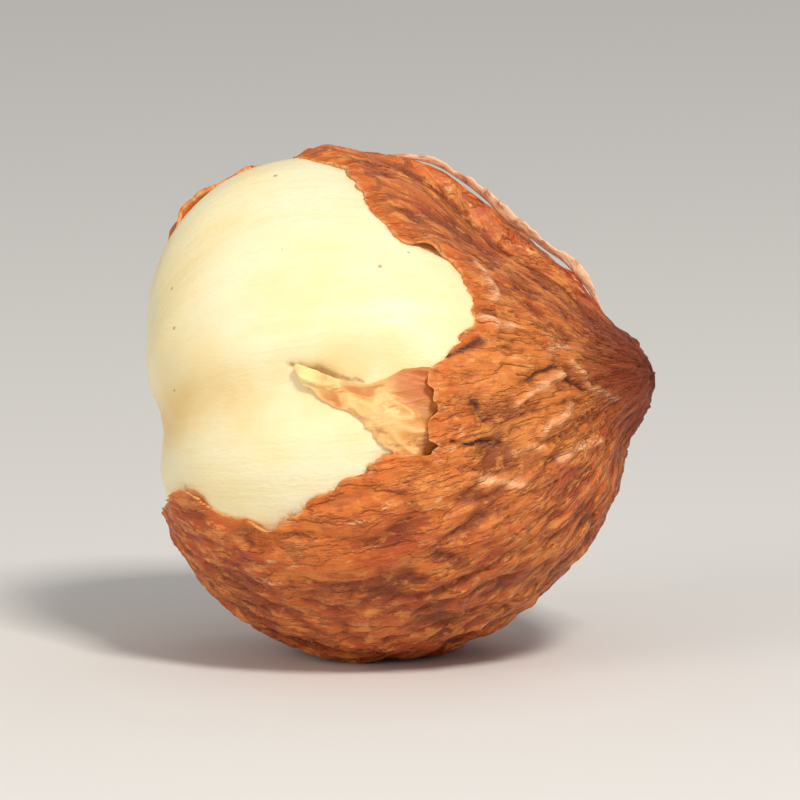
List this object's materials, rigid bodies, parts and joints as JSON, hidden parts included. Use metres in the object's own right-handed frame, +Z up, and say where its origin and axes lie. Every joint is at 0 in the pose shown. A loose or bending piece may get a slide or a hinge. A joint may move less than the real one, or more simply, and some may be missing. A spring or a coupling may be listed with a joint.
{
  "type": "hazelnut",
  "caption": "Shelled hazelnut kernel lying on its side, round with a blunt tip, its brown papery skin partly rubbed away to the pale flesh.",
  "frame": {"origin": "middle of the small flat spot that the nut rests on", "axes": "+Z up, away from the surface; +X towards the nut's tip, which rises a little and turns a little towards -Y; -Y out of the side with the largest bare patch"},
  "size_m": [0.015, 0.0154, 0.0152],
  "materials": {
    "skin": "dry papery brown skin with a soft sheen, rubbed away in places to smooth pale cream flesh"
  },
  "bodies": {
    "root": {"kernel": "skin"}
  },
  "joints": []
}
